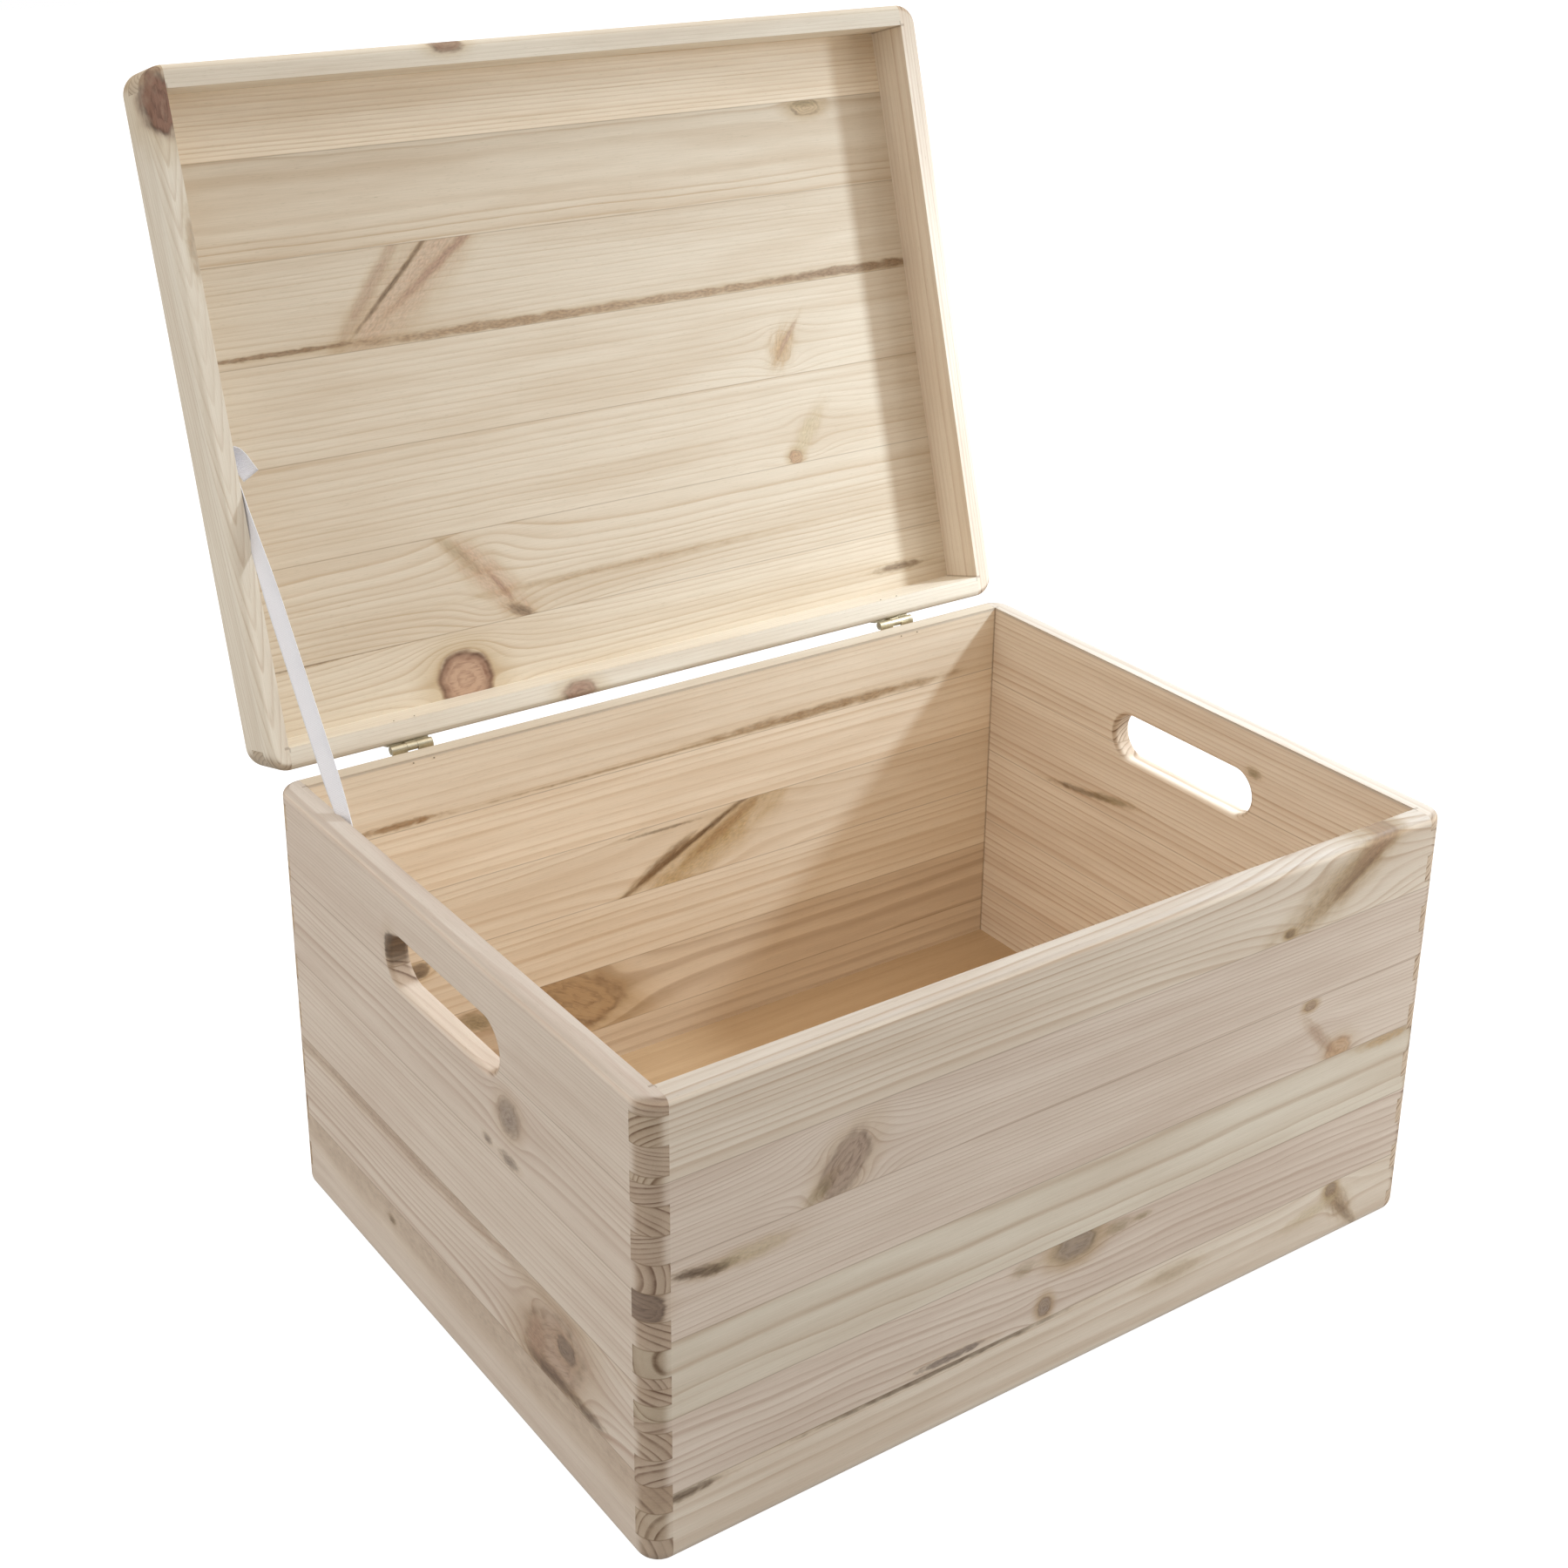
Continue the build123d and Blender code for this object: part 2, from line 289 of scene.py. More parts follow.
def growth_rings(s, place, look, middle):
    """Late wood from 0 to 1."""
    along, across, through = s.split(place)
    wander = s.math("MULTIPLY", s.noise(place, (170, 60, 60)), 2 * look.wave)
    ripple = s.math("MULTIPLY", s.noise(place, (34, 9, 9)), 0.35 * look.wave)
    across = s.math("SUBTRACT", across, middle[0] + look.pith[0])
    across = s.math("ADD", s.math("ADD", across, wander), ripple)
    through = s.math("SUBTRACT", through, middle[1] + look.pith[1])
    radius = s.length(s.join(across, through, 0))
    radius = s.math("ADD", radius, s.math("MULTIPLY", along, look.rise))
    uneven = s.noise(s.join(radius, 0, 0), (9, 1, 1))
    count = s.math("ADD", s.math("DIVIDE", radius, look.spacing), s.math("MULTIPLY", uneven, 2.6))
    late = s.ramp(s.math("FRACT", count), LATE_WOOD)
    each = s.add("ShaderNodeTexWhiteNoise", {"W": s.math("FLOOR", count)}, noise_dimensions="1D")
    each = s.math("MULTIPLY_ADD", each.outputs["Value"], 0.75, 0.35)
    comes_and_goes = s.math("MULTIPLY_ADD", s.noise(place, (60, 3, 3)), 1.1, 1.0)
    return s.math("MULTIPLY", s.math("MULTIPLY", late, each), comes_and_goes)


def paint_knot(s, colour, edge, knot, turned):
    """The wood's colour with one knot over it: a stain around it, its streaky body, a broken dark rim."""
    stain = s.math("MULTIPLY", s.step(edge, 2.3, 0.8), knot.halo)
    colour = s.mix(stain, colour, KNOT_HALO, "MULTIPLY")
    streaks = s.noise(turned, (9, 1.1, 9), detail=4)
    blots = s.noise(turned, (7, 4, 7), detail=4)
    if knot.rings:
        ring = s.math("FRACT", s.math("MULTIPLY_ADD", streaks, 1.2, s.math("MULTIPLY", edge, knot.rings)))
        dark = s.math("MULTIPLY", s.step(ring, 0.3, 0.95), 0.4)
        dark = s.math("ADD", dark, s.math("MULTIPLY", streaks, 1.3))
        rim = s.step(s.math("ABSOLUTE", s.math("SUBTRACT", edge, 0.92)), 0.2, 0.0)
        rim = s.math("MULTIPLY", rim, s.math("MULTIPLY_ADD", blots, 2.4, 0.6))
        dark = s.math("MAXIMUM", dark, rim)
    else:
        dark = s.math("MULTIPLY_ADD", s.noise(turned, (2.5, 0.9, 2.5), detail=2), 2.0, 0.35)
    core = s.mix(dark, knot.core, knot.rim)
    body = s.step(edge, 1 + knot.soft, 1 - knot.soft)
    thin = s.math("MULTIPLY_ADD", blots, knot.patchy, knot.strength)
    return s.mix(s.math("MULTIPLY", body, thin), colour, core)


def wood_colour(s, place, bent, late, end, look):
    """Early and late wood, with slow drifts of tone along the board, fine fibres and pores."""
    early, dark = [tuple(c * look.shade for c in colour[:3]) + (1.0,) for colour in look.tone]
    drift = s.step(s.noise(bent, (110, 11, 11), detail=3), -0.16, 0.22)
    early = s.mix(s.math("MULTIPLY", drift, 0.3), early, dark)
    shown = s.math("MULTIPLY", late, s.math("MULTIPLY_ADD", end, 0.15, look.contrast))
    colour = s.mix(shown, early, dark)
    fibre = s.math("MULTIPLY_ADD", s.noise(place, (22, 0.45, 0.45), detail=4), 0.22, 1.0)
    pore = s.step(s.noise(place, (4, 0.3, 0.3), detail=1), 0.14, 0.3)
    light = s.math("MULTIPLY", fibre, s.math("MULTIPLY_ADD", pore, -0.14, 1.0))
    colour = s.mix(1.0, colour, s.join(light, light, s.math("POWER", light, 1.3)), "MULTIPLY")
    cut = s.mix(s.math("POWER", late, 1.5), END_EARLY, END_LATE)
    return s.mix(end, colour, cut, "MULTIPLY"), fibre


def joint_lines_and_corner_shade(s, place, lies):
    """Thin dark lines between the fingers at a board's ends, and a line of painted shade in the corner inside the
    box.
    """
    sides = list(s.split(place))
    reach = s.math("ABSOLUTE", sides[lies[0]])
    depth = s.math("ABSOLUTE", sides[1 - lies[0]])
    halves = (HALF_LENGTH, HALF_DEPTH)
    inner_end = halves[lies[0]] - WALL
    row = s.math("DIVIDE", sides[2], FINGER)
    gap = s.math("ABSOLUTE", s.math("SUBTRACT", row, s.math("ROUND", row)))
    between = s.step(gap, FINGER_LINE[0] / FINGER, FINGER_LINE[1] / FINGER)
    between = s.math("MULTIPLY", between, s.math("GREATER_THAN", reach, inner_end))
    # Painted shade along the corner inside the box, where two walls meet
    corner = s.step(s.math("ABSOLUTE", s.math("SUBTRACT", reach, inner_end)), *CORNER_PAINTED_SHADE)
    inside = s.math("LESS_THAN", depth, halves[1 - lies[0]] - 0.8 * WALL)
    return s.math("MAXIMUM", between, s.math("MULTIPLY", corner, inside))


def wood(name, look, lies, on_lid, middle, seams, jointed):
    """Solid wood. middle is the board's (across, through); seams are where, across, it is glued to
    its neighbours; jointed boards have fingers at their ends, and the box's rim is darkened with painted shade."""
    material = bpy.data.materials.new(name)
    s = Shader(material)
    closed, normal = closed_place(s, on_lid)
    place, end = board_place(s, closed, normal, lies)
    end = s.step(end, *END_GRAIN)
    bent = place
    fields = []
    for knot in look.knots:
        push, edge, turned = knot_field(s, place, knot)
        bent = s.vector("SUBTRACT", bent, s.join(0, push, 0))
        fields.append((knot, edge, turned))
    late = growth_rings(s, bent, look, middle)
    colour, fibre = wood_colour(s, place, bent, late, end, look)
    for knot, edge, turned in fields:
        colour = paint_knot(s, colour, edge, knot, turned)
    lines = [joint_lines_and_corner_shade(s, closed, lies)] if jointed else []
    for seam in seams:
        gap = s.math("ABSOLUTE", s.math("SUBTRACT", s.split(place)[1], seam))
        lines.append(s.step(gap, SEAM_REACH, 0.0))
    # Glue lines, and the painted shade in the inner corners, darken the wood
    for line in lines:
        colour = s.mix(s.math("MULTIPLY", line, LINE_STRENGTH), colour, GLUE_AND_CORNER_SHADE)
    # Painted shade: the top of the box's rim is darkened
    if jointed and not on_lid:
        rim = s.step(s.split(closed)[2], BODY_HEIGHT - RIM_SHADE_BAND[0], BODY_HEIGHT - RIM_SHADE_BAND[1])
        colour = s.mix(rim, colour, RIM_PAINTED_SHADE, "MULTIPLY")

    height = s.math("MULTIPLY_ADD", fibre, 1.0, s.math("MULTIPLY", late, -0.25))
    bump = s.add("ShaderNodeBump", {"Strength": 0.25, "Distance": 0.0004, "Height": height})
    rough = s.math("MULTIPLY_ADD", late, -0.08, 0.62)
    s.feed(s.surface.inputs["Base Color"], colour)
    s.feed(s.surface.inputs["Roughness"], rough)
    s.feed(s.surface.inputs["Normal"], bump.outputs[0])
    s.surface.inputs["Specular IOR Level"].default_value = 0.3
    return material


# The boards of each wall from the foot up, and of the lid from the front, with the knots, streaks
# and stains that the photograph shows on them.

FRONT_LOOKS = [
    Look(CREAM, 3.4, (-8, -26), wave=3.0, contrast=0.45, knots=[
        Knot(152, 28, 3.5, 3.5, core=GREY_CORE, halo=0.7),
        smear(157, 20, 10, 4.5, tilt=-54, colour=srgb(186, 158, 128), strength=0.75, push=0.8),
        smear(163, 12, 10, 2, tilt=-50, colour=srgb(150, 126, 102), strength=0.6, push=0),
        smear(142, 21, 14, 2.5, tilt=10, colour=KNOT_HALO, strength=0.4, push=0.2),
        smear(-66, 31, 54, 1.3, colour=PITH_BROWN, strength=0.75, soft=0.5),
        smear(-110, 32, 34, 0.5, colour=PITH_BROWN, strength=0.5, soft=0.5),
        smear(-186, 29.5, 14, 1.9, colour=PITH_BROWN, strength=0.85),
        smear(57, 24, 12, 3, colour=OLIVE, strength=0.2),
    ]),
    Look(PINK, 3.6, (-34, -20), rise=0.03, wave=6, contrast=0.7, knots=[
        Knot(1, 62, 11, 7, core=GREY_CORE, rim=srgb(112, 100, 84), halo=0.8, rings=1.5, soft=0.4),
        smear(-26, 61, 5, 2.5, colour=OLIVE, strength=0.4),
        smear(24, 61, 6, 2.5, colour=OLIVE, strength=0.5),
        smear(37, 61, 4, 1.2, colour=OLIVE, strength=0.6),
        Knot(-14, 38, 3.5, 4.5, core=GREY_CORE, halo=0.7),
        smear(-62, 34.8, 16, 1.7, colour=GREY_CORE, strength=0.95, soft=0.3),
    ]),
    Look(PALE, 5.2, (10, -16), wave=5, contrast=0.75, knots=[
        smear(175, 97, 13, 2, colour=srgb(206, 170, 120), strength=0.6),
    ]),
    Look(PINK, 1.9, (-48, -20), wave=1.6, contrast=0.6, knots=[
        smear(-180, 125, 9, 1.8, tilt=-8, colour=PITH_BROWN, strength=0.9),
        smear(-170, 123, 7, 1.8, tilt=4, colour=PITH_BROWN, strength=0.9),
        smear(-156, 124, 14, 3, colour=KNOT_HALO, strength=0.5),
        Knot(126, 130, 3.5, 2.2, halo=0.8),
        Knot(146, 102, 8, 6, core=srgb(206, 172, 136), rim=srgb(160, 124, 92), strength=0.8, halo=0.3),
        smear(134, 112, 12, 2.2, tilt=-48, colour=RED_CORE, strength=0.5),
        Knot(-199, 115, 7, 6.5, core=srgb(148, 128, 112), rim=srgb(100, 84, 72), strength=0.9, push=0.1,
             halo=0.2, soft=0.15),
    ]),
    Look(PINK, 1.9, (-52, -16), wave=1.8, contrast=0.7, knots=[
        Knot(-115, 145, 14.5, 8.5, tilt=50, core=srgb(180, 158, 140), rim=srgb(108, 88, 74), halo=0.35,
             push=1.15, strength=0.9),
        smear(-126, 138, 7, 2.5, tilt=40, colour=OLIVE, strength=0.5),
    ]),
    Look(CREAM, 2.2, (-22, -22), wave=1.8, contrast=0.7, knots=[
        Knot(109, 169.5, 3, 1.8, core=PITH_BROWN, halo=0.8),
        smear(140, 186, 36, 8, tilt=28, colour=srgb(200, 174, 138), strength=0.7, push=0.8),
        smear(150, 190, 24, 3.5, tilt=30, colour=srgb(172, 144, 114), strength=0.6, push=0),
        smear(158, 196, 13, 4, tilt=24, colour=srgb(184, 150, 120), strength=0.6, push=0),
        smear(146, 185, 14, 1.2, tilt=32, colour=srgb(150, 122, 96), strength=0.6, push=0),
    ]),
]

LEFT_LOOKS = [
    Look(ROSE, 3.4, (-30, -60), wave=1.5, contrast=0.2, knots=[
        smear(0, 37, 260, 9, colour=PINK[1], strength=0.35, push=0),
        smear(57, 32, 3, 1.6, colour=PITH_BROWN, strength=0.6),
    ]),
    Look(ROSE, 2.8, (-26, -18), wave=3, contrast=0.75, knots=[
        smear(50, 77.5, 110, 3, colour=PINK[1], strength=0.5, push=0),
        Knot(-82, 57, 24, 15, tilt=-25, core=srgb(188, 160, 140), rim=srgb(120, 98, 82), halo=0.35,
             push=1.2, rings=3, strength=0.7, soft=0.5),
        Knot(-92, 62, 7, 5, core=srgb(146, 128, 112), rim=srgb(92, 78, 68), push=0, halo=0.3),
        smear(-80, 43.5, 17, 3, colour=KNOT_RIM, strength=0.75, push=0.1),
        smear(-107, 43, 11, 2.4, colour=KNOT_RIM, strength=0.7, push=0.1),
        smear(-68, 53, 6, 9, tilt=20, colour=RED_CORE, strength=0.6, push=0),
    ]),
    Look(ROSE, 2.6, (-30, -20), wave=1.5, contrast=0.5),
    Look(ROSE, 2.6, (-14, -18), wave=3, contrast=0.7, knots=[
        Knot(-53, 143, 8, 7, tilt=-30, halo=0.3, core=GREY_CORE, rings=2.5, push=1.3, soft=0.5),
        smear(-52, 123.5, 6, 2.2, colour=GREY_CORE, strength=0.8),
        smear(-35, 124, 3, 1.6, colour=GREY_CORE, strength=0.8),
    ]),
    Look(ROSE, 1.9, (-50, -10), wave=1.5, contrast=0.5, knots=[
        Knot(43, 169, 5, 8, core=PITH_BROWN, rim=BARK_BLACK, push=0.1, halo=0.2, soft=0.2),
    ]),
]

BACK_LOOKS = [
    Look(TAN, 3.6, (-20, 25), wave=2, contrast=0.5, shade=1.04),
    Look(TAN, 4.4, (-20, 25), wave=4, contrast=0.6, shade=1.04, knots=[
        Knot(-62, 54, 30, 13, tilt=-30, halo=0.6, core=srgb(186, 154, 114), rim=srgb(120, 90, 62),
             strength=0.8, rings=2, ragged=1.2),
        smear(-114, 58, 9, 4, tilt=-20, colour=OLIVE, strength=0.8),
    ]),
    Look(WARM, 3.8, (-45, 20), wave=2, contrast=0.55, shade=1.06, knots=[
        Knot(-143, 94, 6, 4, core=PITH_BROWN, rim=BARK_BLACK),
    ]),
    Look(WARM, 4.2, (-45, 20), wave=2, contrast=0.55, shade=1.06, knots=[
        smear(15, 113, 40, 9, tilt=24, colour=srgb(208, 176, 122), strength=0.65, push=0.7),
        smear(4, 118, 40, 1.4, tilt=26, colour=srgb(128, 98, 68), strength=0.9, push=0),
        smear(-12, 112, 18, 2.6, tilt=30, colour=srgb(146, 114, 80), strength=0.8, push=0),
        smear(24, 121, 24, 2.8, tilt=30, colour=srgb(184, 146, 100), strength=0.7, push=0),
        smear(-12, 129.5, 16, 0.7, colour=PITH_BROWN, strength=0.6, push=0),
    ]),
    Look(WARM, 4.0, (-45, 20), wave=1.6, contrast=0.5, shade=1.14),
    Look(WARM, 3.4, (-30, 20), wave=1.6, contrast=0.4, shade=1.08, knots=[
        smear(85, 169.8, 64, 2.4, colour=srgb(182, 150, 112), strength=0.8, soft=0.5, push=0.1),
        smear(-148, 169.5, 18, 1.6, colour=srgb(172, 134, 92), strength=0.8, soft=0.5, push=0.1),
        smear(-20, 168.6, 70, 0.6, colour=srgb(182, 150, 112), strength=0.6, soft=0.5, push=0),
    ]),
]

RIGHT_LOOKS = [
    Look(CREAM, 2.6, (-30, 20), shade=1.12),
    Look(CREAM, 2.6, (-30, 20), shade=1.12),
    Look(CREAM, 2.6, (-30, 20), shade=1.12),
    Look(CREAM, 2.2, (-40, 20), shade=1.12, knots=[
        smear(45, 129, 14, 1.8, tilt=-9, colour=OLIVE, strength=0.7),
        smear(68, 125, 18, 1.4, tilt=-7, colour=PITH_BROWN, strength=0.6),
    ]),
    Look(CREAM, 2.2, (-40, 20), shade=1.12, knots=[
        smear(-47, 180, 4, 2, colour=OLIVE),
    ]),
]

LID_LOOKS = [
    Look(WARM, 2.3, (-60, -10), wave=0.8, contrast=0.75, shade=1.18),
    Look(WARM, 3.6, (-4, -16), wave=4, contrast=0.75, shade=0.92, knots=[
        Knot(143, -107, 9, 4, core=srgb(212, 188, 150), strength=0.7, push=1.2),
        smear(142, -109, 7, 1.2, colour=OLIVE, strength=0.7),
    ]),
    Look(WARM, 2.1, (-40, -16), wave=1.5, contrast=0.4, shade=0.88, knots=[
        smear(-84, -49, 46, 9, tilt=-40, colour=srgb(214, 182, 154), strength=0.6, push=0.1),
        smear(-94, -49, 24, 1.0, tilt=-42, colour=srgb(150, 126, 100), strength=1.0, push=0),
        smear(-76, -66, 10, 0.8, tilt=-42, colour=srgb(150, 126, 100), strength=0.7, push=0),
        smear(-68, -57, 28, 1.8, tilt=-34, colour=RED_CORE, strength=0.8, push=0),
        smear(-104, -50, 26, 2.6, tilt=-50, colour=RED_CORE, strength=0.5, push=0),
        smear(-152, -26, 36, 1.1, colour=srgb(164, 136, 106), strength=0.9, soft=0.35, push=0.1),
        smear(-40, -24.5, 68, 2.2, colour=srgb(188, 160, 128), strength=0.95, soft=0.35, push=0.1),
        smear(60, -24.5, 80, 1.8, colour=srgb(188, 160, 128), strength=0.95, soft=0.35, push=0.1),
        smear(160, -25, 50, 2.2, colour=srgb(164, 136, 106), strength=0.9, soft=0.35, push=0.1),
    ]),
    Look(WARM, 2.6, (-30, -20), wave=2, contrast=0.4, shade=0.88, knots=[
        smear(108, 8, 9, 5, tilt=-60, colour=srgb(206, 172, 130), strength=0.7, push=1.0),
        smear(112, 4, 10, 1.2, tilt=-50, colour=RED_CORE, strength=0.6, push=0),
    ]),
    Look(WARM, 2.8, (-30, -20), wave=3, contrast=0.45, shade=0.88, knots=[
        Knot(107, 63, 4, 3.5, core=srgb(196, 160, 128), strength=0.8, halo=0.5),
        smear(116, 52, 12, 3.5, tilt=-50, colour=KNOT_HALO, strength=0.5, push=0.6),
    ]),
    Look(WARM, 2.3, (-20, -16), wave=3, contrast=0.6, shade=0.88, knots=[
        smear(-70, 90, 24, 6, tilt=50, colour=srgb(214, 180, 152), strength=0.6, push=0.6),
        smear(-57, 108, 7, 2.2, tilt=30, colour=srgb(150, 126, 100), strength=0.9, push=0.1),
        smear(-66, 94, 8, 1.2, tilt=56, colour=RED_CORE, strength=0.8, push=0),
        smear(-84, 76, 12, 2.2, tilt=48, colour=OLIVE, strength=0.35, push=0),
        smear(0, 97, 60, 1.4, colour=HONEY[1], strength=0.4, push=0),
    ]),
    Look(WARM, 2.2, (-30, -16), wave=2, contrast=0.55, shade=0.9, knots=[
        Knot(-91, 133, 14, 13, core=srgb(134, 98, 76), rim=srgb(100, 70, 54), halo=0.5, rings=1,
             ragged=0.35, soft=0.12, strength=0.95, patchy=0.3, push=1.2),
        Knot(-91, 133, 11.5, 10.5, core=srgb(196, 162, 134), rim=srgb(140, 104, 82), halo=0, rings=2.5,
             ragged=0.35, soft=0.15, strength=0.9, patchy=0.3, push=0),
        smear(160, 129, 13, 1.8, colour=srgb(150, 126, 100), strength=0.9),
        smear(-168, 110.3, 18, 0.8, colour=srgb(150, 126, 100), strength=0.9, push=0),
        smear(-130, 110.3, 20, 0.5, colour=srgb(150, 126, 100), strength=0.6, push=0),
    ]),
]

RAIL_LOOKS = {
    "lid_rail_front": Look(PALE, 1.9, (-40, -20), wave=0.8, contrast=0.4, shade=1.04, knots=[
        Knot(-60, -149, 8, 4, core=srgb(150, 116, 96), rim=srgb(96, 70, 56), halo=0.4, push=0.3,
             through=(201, 8)),
    ]),
    "lid_rail_back": Look(PALE, 1.9, (40, -20), wave=0.8, contrast=0.4, shade=1.04, knots=[
        Knot(-47, 147, 9, 5, core=srgb(170, 136, 116), rim=srgb(112, 82, 66), halo=0.4, push=0.3,
             through=(201, 10)),
    ]),
    "lid_rail_left": Look(PALE, 2.4, (0, -16), rise=0.14, wave=1.0, contrast=0.5, shade=1.08, knots=[
        Knot(-134, -194, 14, 7, core=srgb(150, 116, 98), rim=srgb(84, 60, 50), strength=1.0, halo=0.4,
             soft=0.3, push=0.3, rings=2, through=(200, 18)),
        smear(-76, -191, 12, 2, colour=HONEY[1], strength=0.5, push=0.2),
    ]),
    "lid_rail_right": Look(CREAM, 1.9, (30, -20), wave=0.8, contrast=0.45, shade=1.12),
}


def closed_box(node):
    """A node's lowest and highest corners in the closed box, in mm."""
    turn = Matrix.Identity(4)
    if node in LID_NODES:
        turn = Matrix.Rotation(OPEN_ANGLE, 4, "X") @ Matrix.Translation(-HINGE)
        turn = Matrix.Translation(HINGE) @ turn
    shift = Vector((0, -CENTRE_Y, 0))
    corners = [(turn @ v.co + shift) / MM for v in frame["nodes"][node].data.vertices]
    low = Vector([min(c[i] for c in corners) for i in range(3)])
    high = Vector([max(c[i] for c in corners) for i in range(3)])
    return low, high


def dress(node, look, lies, glued_below=False, glued_above=False, jointed=False):
    """Gives a node its own wood."""
    low, high = closed_box(node)
    centre = (low + high) / 2
    across = lies[1]
    seams = [low[across]] * glued_below + [high[across]] * glued_above
    middle = (centre[across], centre[lies[2]])
    material = wood(node, look, lies, node in LID_NODES, middle, seams, jointed)
    piece = frame["nodes"][node]
    piece.data.materials.clear()
    piece.data.materials.append(material)


def dress_all():
    for wall, looks, lies in (
        ("front", FRONT_LOOKS, UPRIGHT_X), ("back", BACK_LOOKS, UPRIGHT_X),
        ("left", LEFT_LOOKS, UPRIGHT_Y), ("right", RIGHT_LOOKS, UPRIGHT_Y), ("lid", LID_LOOKS, FLAT_X),
    ):
        for number, look in enumerate(looks, start=1):
            dress(f"{wall}_board_{number}", look, lies, number > 1, number < len(looks), wall != "lid")
    for rail, look in RAIL_LOOKS.items():
        dress(rail, look, FLAT_X if rail.endswith(("front", "back")) else FLAT_Y, jointed=True)
    dress("floor_panel", Look(PLYWOOD, 6.0, (0, -300), wave=1.5, contrast=0.3, shade=0.82), FLAT_X)


dress_all()


# ---------------------------------------------------------------------------- metal

def metal(name, base, roughness, dirt, brushed):
    """Thin stamped or drawn metal: base colour, dull blotches of dirt, and fine scratches."""
    material = bpy.data.materials.new(name)
    s = Shader(material)
    place = s.add("ShaderNodeTexCoord").outputs["Object"]
    blotch = s.step(s.noise(place, (0.004, 0.004, 0.004), detail=4), -0.15, 0.25)
    scratch = s.noise(place, brushed, detail=3)
    shade = s.math("MULTIPLY_ADD", scratch, 0.25, 1.0)
    colour = s.mix(s.math("MULTIPLY", blotch, 0.55), base, dirt)
    s.feed(s.surface.inputs["Base Color"], s.mix(1.0, colour, s.join(shade, shade, shade), "MULTIPLY"))
    s.feed(s.surface.inputs["Roughness"], s.math("MULTIPLY_ADD", blotch, 0.2, roughness))
    bump = s.add("ShaderNodeBump", {"Strength": 0.3, "Distance": 0.0001, "Height": scratch})
    s.feed(s.surface.inputs["Normal"], bump.outputs[0])
    s.surface.inputs["Metallic"].default_value = 1.0
    return material


def dress_metal():
    leaf = metal("hinge_brass_worn", srgb(206, 196, 170), 0.38, srgb(160, 146, 116),
                 (0.00025, 0.004, 0.004))
    nail = metal("hinge_nail_dull", srgb(190, 180, 158), 0.35, srgb(130, 118, 96),
                 (0.0006, 0.0006, 0.0006))
    steel = metal("staple_steel_wire", srgb(206, 208, 212), 0.25, srgb(150, 152, 156),
                  (0.002, 0.0002, 0.0002))
    for node, piece in frame["nodes"].items():
        finish = nail if "_nail_" in node else leaf if "_hinge_" in node else steel
        if "_hinge_" in node or "_staple_" in node:
            piece.data.materials.clear()
            piece.data.materials.append(finish)


dress_metal()


# ---------------------------------------------------------------------------- ribbon
# It runs taut from the staple in the left wall to the staple in the lid's left rail. It lies flat on
# the wood at both ends, turns a little between them, and its loose end curls off the rail.

RIBBON_X = (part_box("stay_ribbon")[0].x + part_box("stay_ribbon")[1].x) / 2
RIBBON_FOOT = Vector((RIBBON_X, 0.0834 + CENTRE_Y, 0.172))
RIBBON_HEAD = Vector((RIBBON_X, 0.1994 + CENTRE_Y, 0.3287))
RIBBON_WIDTH = 0.009
RIBBON_THICKNESS = 0.0003
RIBBON_TAIL = 0.004
RIBBON_CROWN = 0.0004
RIBBON_LOOSE_END = 0.020
RIBBON_END_BEND = math.radians(160)
RIBBON_END_TWIST = math.radians(-35)
RIBBON_TURN = math.radians(28)
RIBBON_STEPS = 160
RIBBON_STRIPS = 12


def ramp_between(value, low, high):
    """0 at low, 1 at high, smooth between."""
    t = min(max((value - low) / (high - low), 0), 1)
    return t * t * (3 - 2 * t)


def ribbon_path():
    """Points along the ribbon's middle, from its lower cut end to its loose end, each with its
    distance from the lower staple and the way that the ribbon heads there."""
    span = (RIBBON_HEAD - RIBBON_FOOT).length
    along = (RIBBON_HEAD - RIBBON_FOOT).normalized()
    inward = Vector((1, 0, 0))
    step = (span + RIBBON_TAIL + RIBBON_LOOSE_END) / RIBBON_STEPS
    point = RIBBON_FOOT - RIBBON_TAIL * along
    path = []
    for number in range(RIBBON_STEPS + 1):
        s = number * step - RIBBON_TAIL
        turn = RIBBON_END_BEND * ramp_between(s, span + 0.0015, span + 0.008)
        heading = math.cos(turn) * along + math.sin(turn) * inward
        path.append((point.copy(), s, heading))
        point += step * heading
    return path, span, inward.cross(along)


def ribbon_mesh():
    """A thin closed strip with a slight crown and a woven edge a little thicker than its middle."""
    points = []
    path, span, flat = ribbon_path()
    for middle, s, heading in path:
        turn = RIBBON_TURN * ramp_between(s, 0.012, 0.055) * (1 - ramp_between(s, 0.125, span - 0.012))
        turn += RIBBON_END_TWIST * ramp_between(s, span + 0.004, span + 0.012)
        wide = Matrix.Rotation(turn, 3, heading) @ flat
        thick = heading.cross(wide).normalized()
        for side in (1, -1):
            for strip in range(RIBBON_STRIPS + 1):
                u = 2 * strip / RIBBON_STRIPS - 1
                half = RIBBON_THICKNESS * (0.38 + 0.12 * ramp_between(abs(u), 0.8, 0.95))
                crown = RIBBON_CROWN * (1 - u * u) * math.sin(math.pi * min(max(s / span, 0), 1))
                points.append(middle + wide * (u * RIBBON_WIDTH / 2) + thick * (crown + side * half))
    return points


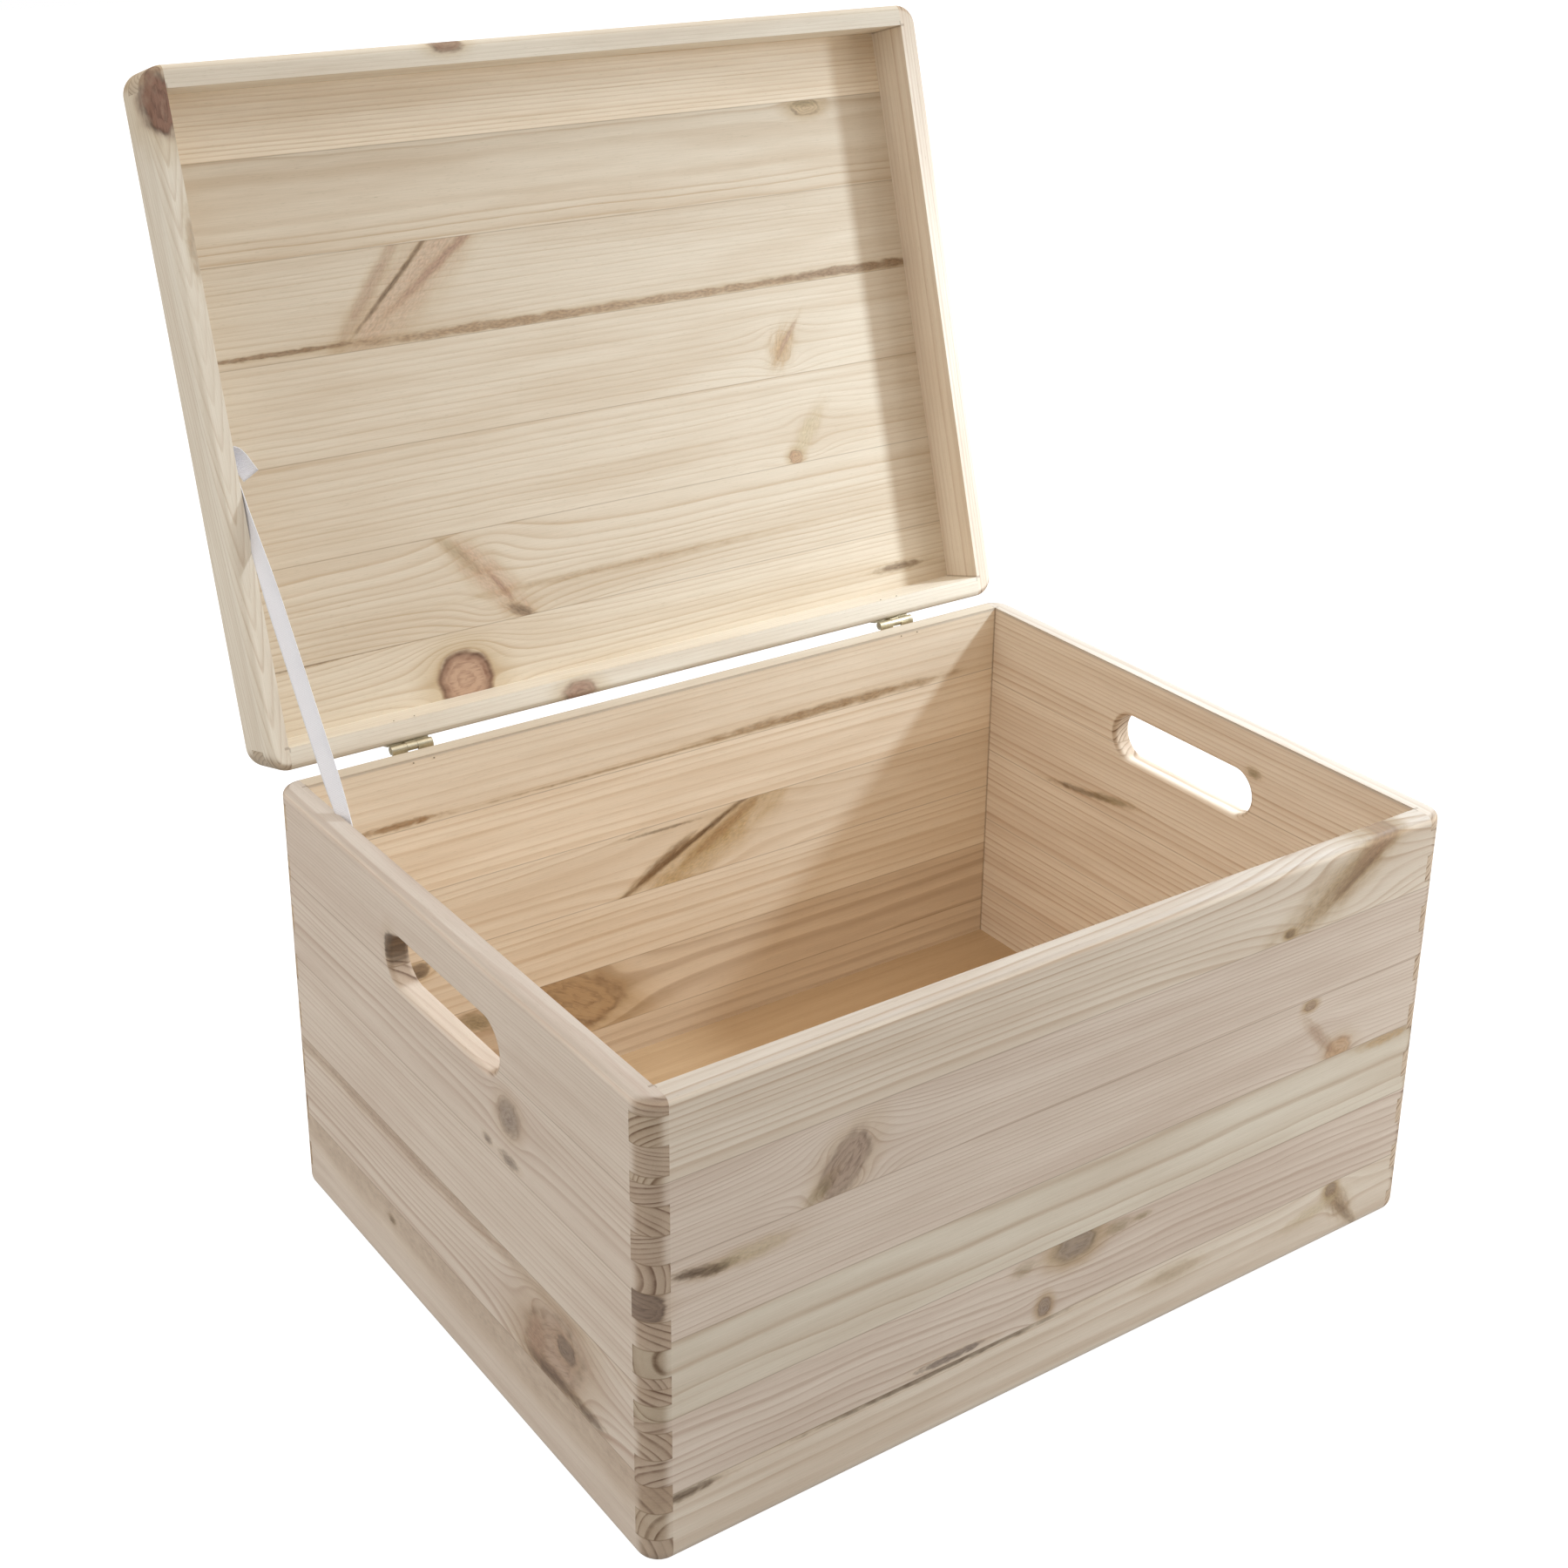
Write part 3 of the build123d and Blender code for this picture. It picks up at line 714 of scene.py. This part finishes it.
def ribbon_faces():
    row = 2 * (RIBBON_STRIPS + 1)
    loop = list(range(RIBBON_STRIPS + 1)) + list(range(row - 1, RIBBON_STRIPS, -1))
    faces = []
    for step in range(RIBBON_STEPS):
        for a, b in zip(loop, loop[1:] + loop[:1]):
            faces.append((step * row + a, step * row + b, (step + 1) * row + b, (step + 1) * row + a))
    for step, flip in ((0, False), (RIBBON_STEPS, True)):
        for strip in range(RIBBON_STRIPS):
            a, b = step * row + strip, step * row + strip + RIBBON_STRIPS + 1
            face = (a, b, b + 1, a + 1)
            faces.append(face[::-1] if flip else face)
    return faces


def satin():
    """White woven satin: fine ribs across and a bright sheen."""
    material = bpy.data.materials.new("ribbon_satin")
    s = Shader(material)
    place = s.vector("SUBTRACT", s.add("ShaderNodeTexCoord").outputs["Object"], tuple(RIBBON_FOOT))
    along = (RIBBON_HEAD - RIBBON_FOOT).normalized()
    down = s.add("ShaderNodeVectorMath", {0: place, 1: tuple(along)}, operation="DOT_PRODUCT")
    down = down.outputs["Value"]
    rib = s.math("SINE", s.math("MULTIPLY", down, 2 * math.pi / 0.0007))
    thread = s.noise(place, (0.0004, 0.0004, 0.0004), detail=2)
    rib = s.math("ADD", rib, s.math("MULTIPLY", thread, 1.2))
    soil = s.step(s.noise(place, (0.02, 0.02, 0.02), detail=2), -0.1, 0.3)
    s.feed(s.surface.inputs["Base Color"],
           s.mix(s.math("MULTIPLY", soil, 0.5), srgb(246, 246, 250), srgb(232, 232, 238)))
    bump = s.add("ShaderNodeBump", {"Strength": 0.35, "Distance": 0.0001, "Height": rib})
    s.feed(s.surface.inputs["Normal"], bump.outputs[0])
    s.surface.inputs["Roughness"].default_value = 0.38
    s.surface.inputs["Sheen Weight"].default_value = 0.3
    s.surface.inputs["Anisotropic"].default_value = 0.5
    return material


def add_ribbon():
    mesh = bpy.data.meshes.new("satin_ribbon")
    mesh.from_pydata(ribbon_mesh(), [], ribbon_faces())
    mesh.update()
    mesh.polygons.foreach_set("use_smooth", [True] * len(mesh.polygons))
    mesh.materials.append(satin())
    ribbon = bpy.data.objects.new("satin_ribbon", mesh)
    bpy.context.scene.collection.objects.link(ribbon)
    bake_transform(ribbon)
    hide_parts("stay_ribbon")


add_ribbon()


# ---------------------------------------------------------------------------- light and camera

KEY_PLACE = (0.590, -0.109 + CENTRE_Y, 0.600)
KEY_AIM = (-0.10, 0.14 + CENTRE_Y, 0.06)
KEY_CONE = math.radians(72)
KEY_RADIUS = 0.035
KEY_POWER = 17
KEY_COLOUR = (0.70, 0.84, 1.0)
RIGHT_FILL = ((0.75, -0.60 + CENTRE_Y, 0.25), 0.5, 2.4)
LEFT_FILL = ((-1.0, 0.35 + CENTRE_Y, 0.30), 0.6, 1.6)
SKY_ABOVE = (1.56, 1.47, 1.38, 1)
SKY_LEVEL = (0.14, 0.14, 0.145, 1)
FLOOR_HALF = 4
FLOOR_GREY = (0.25, 0.253, 0.26, 1)
FLOOR_GLOW = 0.2
FLOOR_SHOWN = 0.95


def add_camera():
    data = bpy.data.cameras.new("camera")
    data.lens = CAMERA_LENS
    data.shift_x, data.shift_y = CAMERA_SHIFT
    data.clip_start = 0.01
    camera = bpy.data.objects.new("camera", data)
    turn = Matrix.Rotation(math.radians(-CAMERA_AZIMUTH), 4, "Z")
    turn @= Matrix.Rotation(math.radians(90 + CAMERA_ELEVATION), 4, "X")
    turn @= Matrix.Rotation(math.radians(CAMERA_ROLL), 4, "Z")
    camera.matrix_world = Matrix.Translation(CAMERA_PLACE) @ turn
    bpy.context.scene.collection.objects.link(camera)
    bpy.context.scene.camera = camera


def place_light(data, place, aim, colour):
    data.color = colour
    light = bpy.data.objects.new(data.name, data)
    light.location = place
    light.rotation_euler = (Vector(aim) - Vector(place)).to_track_quat("-Z", "Y").to_euler()
    light.visible_camera = False
    bpy.context.scene.collection.objects.link(light)


def add_key():
    """The light from the upper right, which casts the walls' shadows."""
    data = bpy.data.lights.new("key", "SPOT")
    data.spot_size = KEY_CONE
    data.spot_blend = 1.0
    data.shadow_soft_size = KEY_RADIUS
    data.energy = KEY_POWER
    place_light(data, KEY_PLACE, KEY_AIM, KEY_COLOUR)


def add_fill(name, place, size, power):
    """A large soft light aimed at the middle of the box."""
    data = bpy.data.lights.new(name, "AREA")
    data.shape = "SQUARE"
    data.size = size
    data.energy = power
    place_light(data, place, (0, CENTRE_Y, BODY_HEIGHT * MM), (1, 1, 1))


def add_sky():
    """Soft light, brighter from above, behind a plain white background."""
    world = bpy.data.worlds.new("studio")
    s = Shader(world)
    height = s.split(s.add("ShaderNodeTexCoord").outputs["Generated"])[2]
    sky = s.mix(s.step(height, 0.15, 1.0), SKY_LEVEL, SKY_ABOVE)
    seen = s.add("ShaderNodeLightPath").outputs["Is Camera Ray"]
    s.feed(s.surface.inputs["Color"], s.mix(seen, sky, (1, 1, 1, 1)))
    bpy.context.scene.world = world


def add_floor():
    mesh = bpy.data.meshes.new("floor")
    corners = [(x * FLOOR_HALF, y * FLOOR_HALF, 0) for x, y in ((-1, -1), (1, -1), (1, 1), (-1, 1))]
    mesh.from_pydata(corners, [], [(0, 1, 2, 3)])
    floor = bpy.data.objects.new("floor", mesh)
    bpy.context.scene.collection.objects.link(floor)
    material = bpy.data.materials.new("floor")
    s = Shader(material)
    s.surface.inputs["Base Color"].default_value = FLOOR_GREY
    s.surface.inputs["Roughness"].default_value = 0.9
    s.surface.inputs["Emission Color"].default_value = (1, 1, 1, 1)
    seen = s.add("ShaderNodeLightPath").outputs["Is Camera Ray"]
    glow = s.math("MULTIPLY_ADD", seen, FLOOR_SHOWN - FLOOR_GLOW, FLOOR_GLOW)
    s.feed(s.surface.inputs["Emission Strength"], glow)
    mesh.materials.append(material)


add_camera()
add_key()
add_fill("right_fill", *RIGHT_FILL)
add_fill("left_fill", *LEFT_FILL)
add_sky()
add_floor()
bpy.context.scene.view_settings.view_transform = "Standard"
